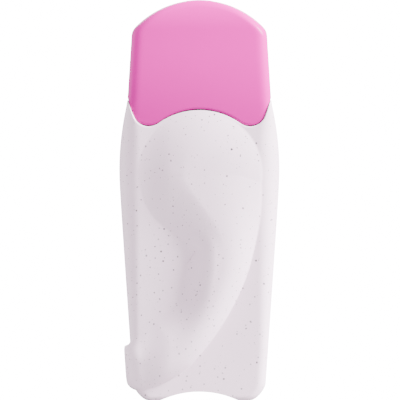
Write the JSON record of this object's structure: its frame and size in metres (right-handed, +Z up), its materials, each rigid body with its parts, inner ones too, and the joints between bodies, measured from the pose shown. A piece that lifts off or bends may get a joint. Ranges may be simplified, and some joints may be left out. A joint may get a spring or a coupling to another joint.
{
  "type": "roll-on wax warmer",
  "caption": "Hand-held roll-on wax warmer: speckled two-shell housing with a raised comma, lift-off pink cap, heated well and wax cartridge with a roller.",
  "frame": {"origin": "under the middle of the whole outline, at the height of the two feet", "axes": "+Z up along the length, -Y towards the front with the raised comma, +X to the right of someone looking at the front"},
  "size_m": [0.068, 0.047, 0.17],
  "materials": {
    "shell_plastic": "satin off-white moulded plastic with fine dark fibre specks",
    "cap_plastic": "satin pink moulded plastic",
    "collar_plastic": "plain off-white moulded plastic",
    "window_plastic": "clear moulded lens",
    "lamp_lens": "translucent red",
    "screw_steel": "zinc plated",
    "sleeve_aluminium": "plain drawn aluminium",
    "seat_plastic": "dark heat-resistant plastic",
    "ptc_ceramic": "dark sintered ceramic",
    "contact_metal": "plain",
    "film_plastic": "amber insulating film",
    "spring_steel": "plain",
    "thermostat_plastic": "black moulded body",
    "sleeving": "pale heat-resistant sleeving",
    "inlet_plastic": "black moulded plastic",
    "board_laminate": "green laminate",
    "resistor_body": "lacquered",
    "wire_brown": "brown insulation",
    "wire_blue": "blue insulation",
    "wire_red": "red insulation",
    "bottle_plastic": "translucent natural plastic",
    "wax": "honey-coloured wax",
    "roller_plastic": "white moulded plastic"
  },
  "bodies": {
    "housing": {"front_shell": "shell_plastic", "rear_shell": "shell_plastic", "neck_collar": "collar_plastic", "window_lens": "window_plastic", "indicator_lens": "lamp_lens", "housing_screws": "screw_steel", "heating_sleeve": "sleeve_aluminium", "sleeve_seat": "seat_plastic", "ptc_stones": "ptc_ceramic", "electrode_plates": "contact_metal", "ptc_films": "film_plastic", "ptc_spring": "spring_steel", "thermostat": "thermostat_plastic", "sensor_clip": "spring_steel", "thermal_fuse": "contact_metal", "fuse_tube": "sleeving", "inlet_housing": "inlet_plastic", "inlet_pins": "contact_metal", "circuit_board": "board_laminate", "dropper_resistors": "resistor_body", "rectifier_diode": "inlet_plastic", "indicator_led": "lamp_lens", "board_screws": "screw_steel", "live_wire": "wire_brown", "fuse_wire": "sleeving", "ptc_live_wire": "sleeving", "neutral_wire": "wire_blue", "board_wires": "wire_red", "crimp_sleeves": "contact_metal"},
    "cartridge": {"cartridge_bottle": "bottle_plastic", "wax_fill": "wax", "roller_head": "roller_plastic"},
    "roller": {"roller": "roller_plastic"},
    "cap": {"cap": "cap_plastic"}
  },
  "joints": [
    {"name": "cartridge_lift", "type": "slide", "parent": "housing", "child": "cartridge", "axis": [0, 0, 1], "range_m": [0, 0.105]},
    {"name": "cap_lift", "type": "slide", "parent": "cartridge", "child": "cap", "axis": [0, 0, 1], "range_m": [0, 0.06]},
    {"name": "roller_spin", "type": "hinge", "parent": "cartridge", "child": "roller", "pos_m": [0, 0.003, 0.141], "axis": [1, 0, 0], "continuous": true}
  ]
}
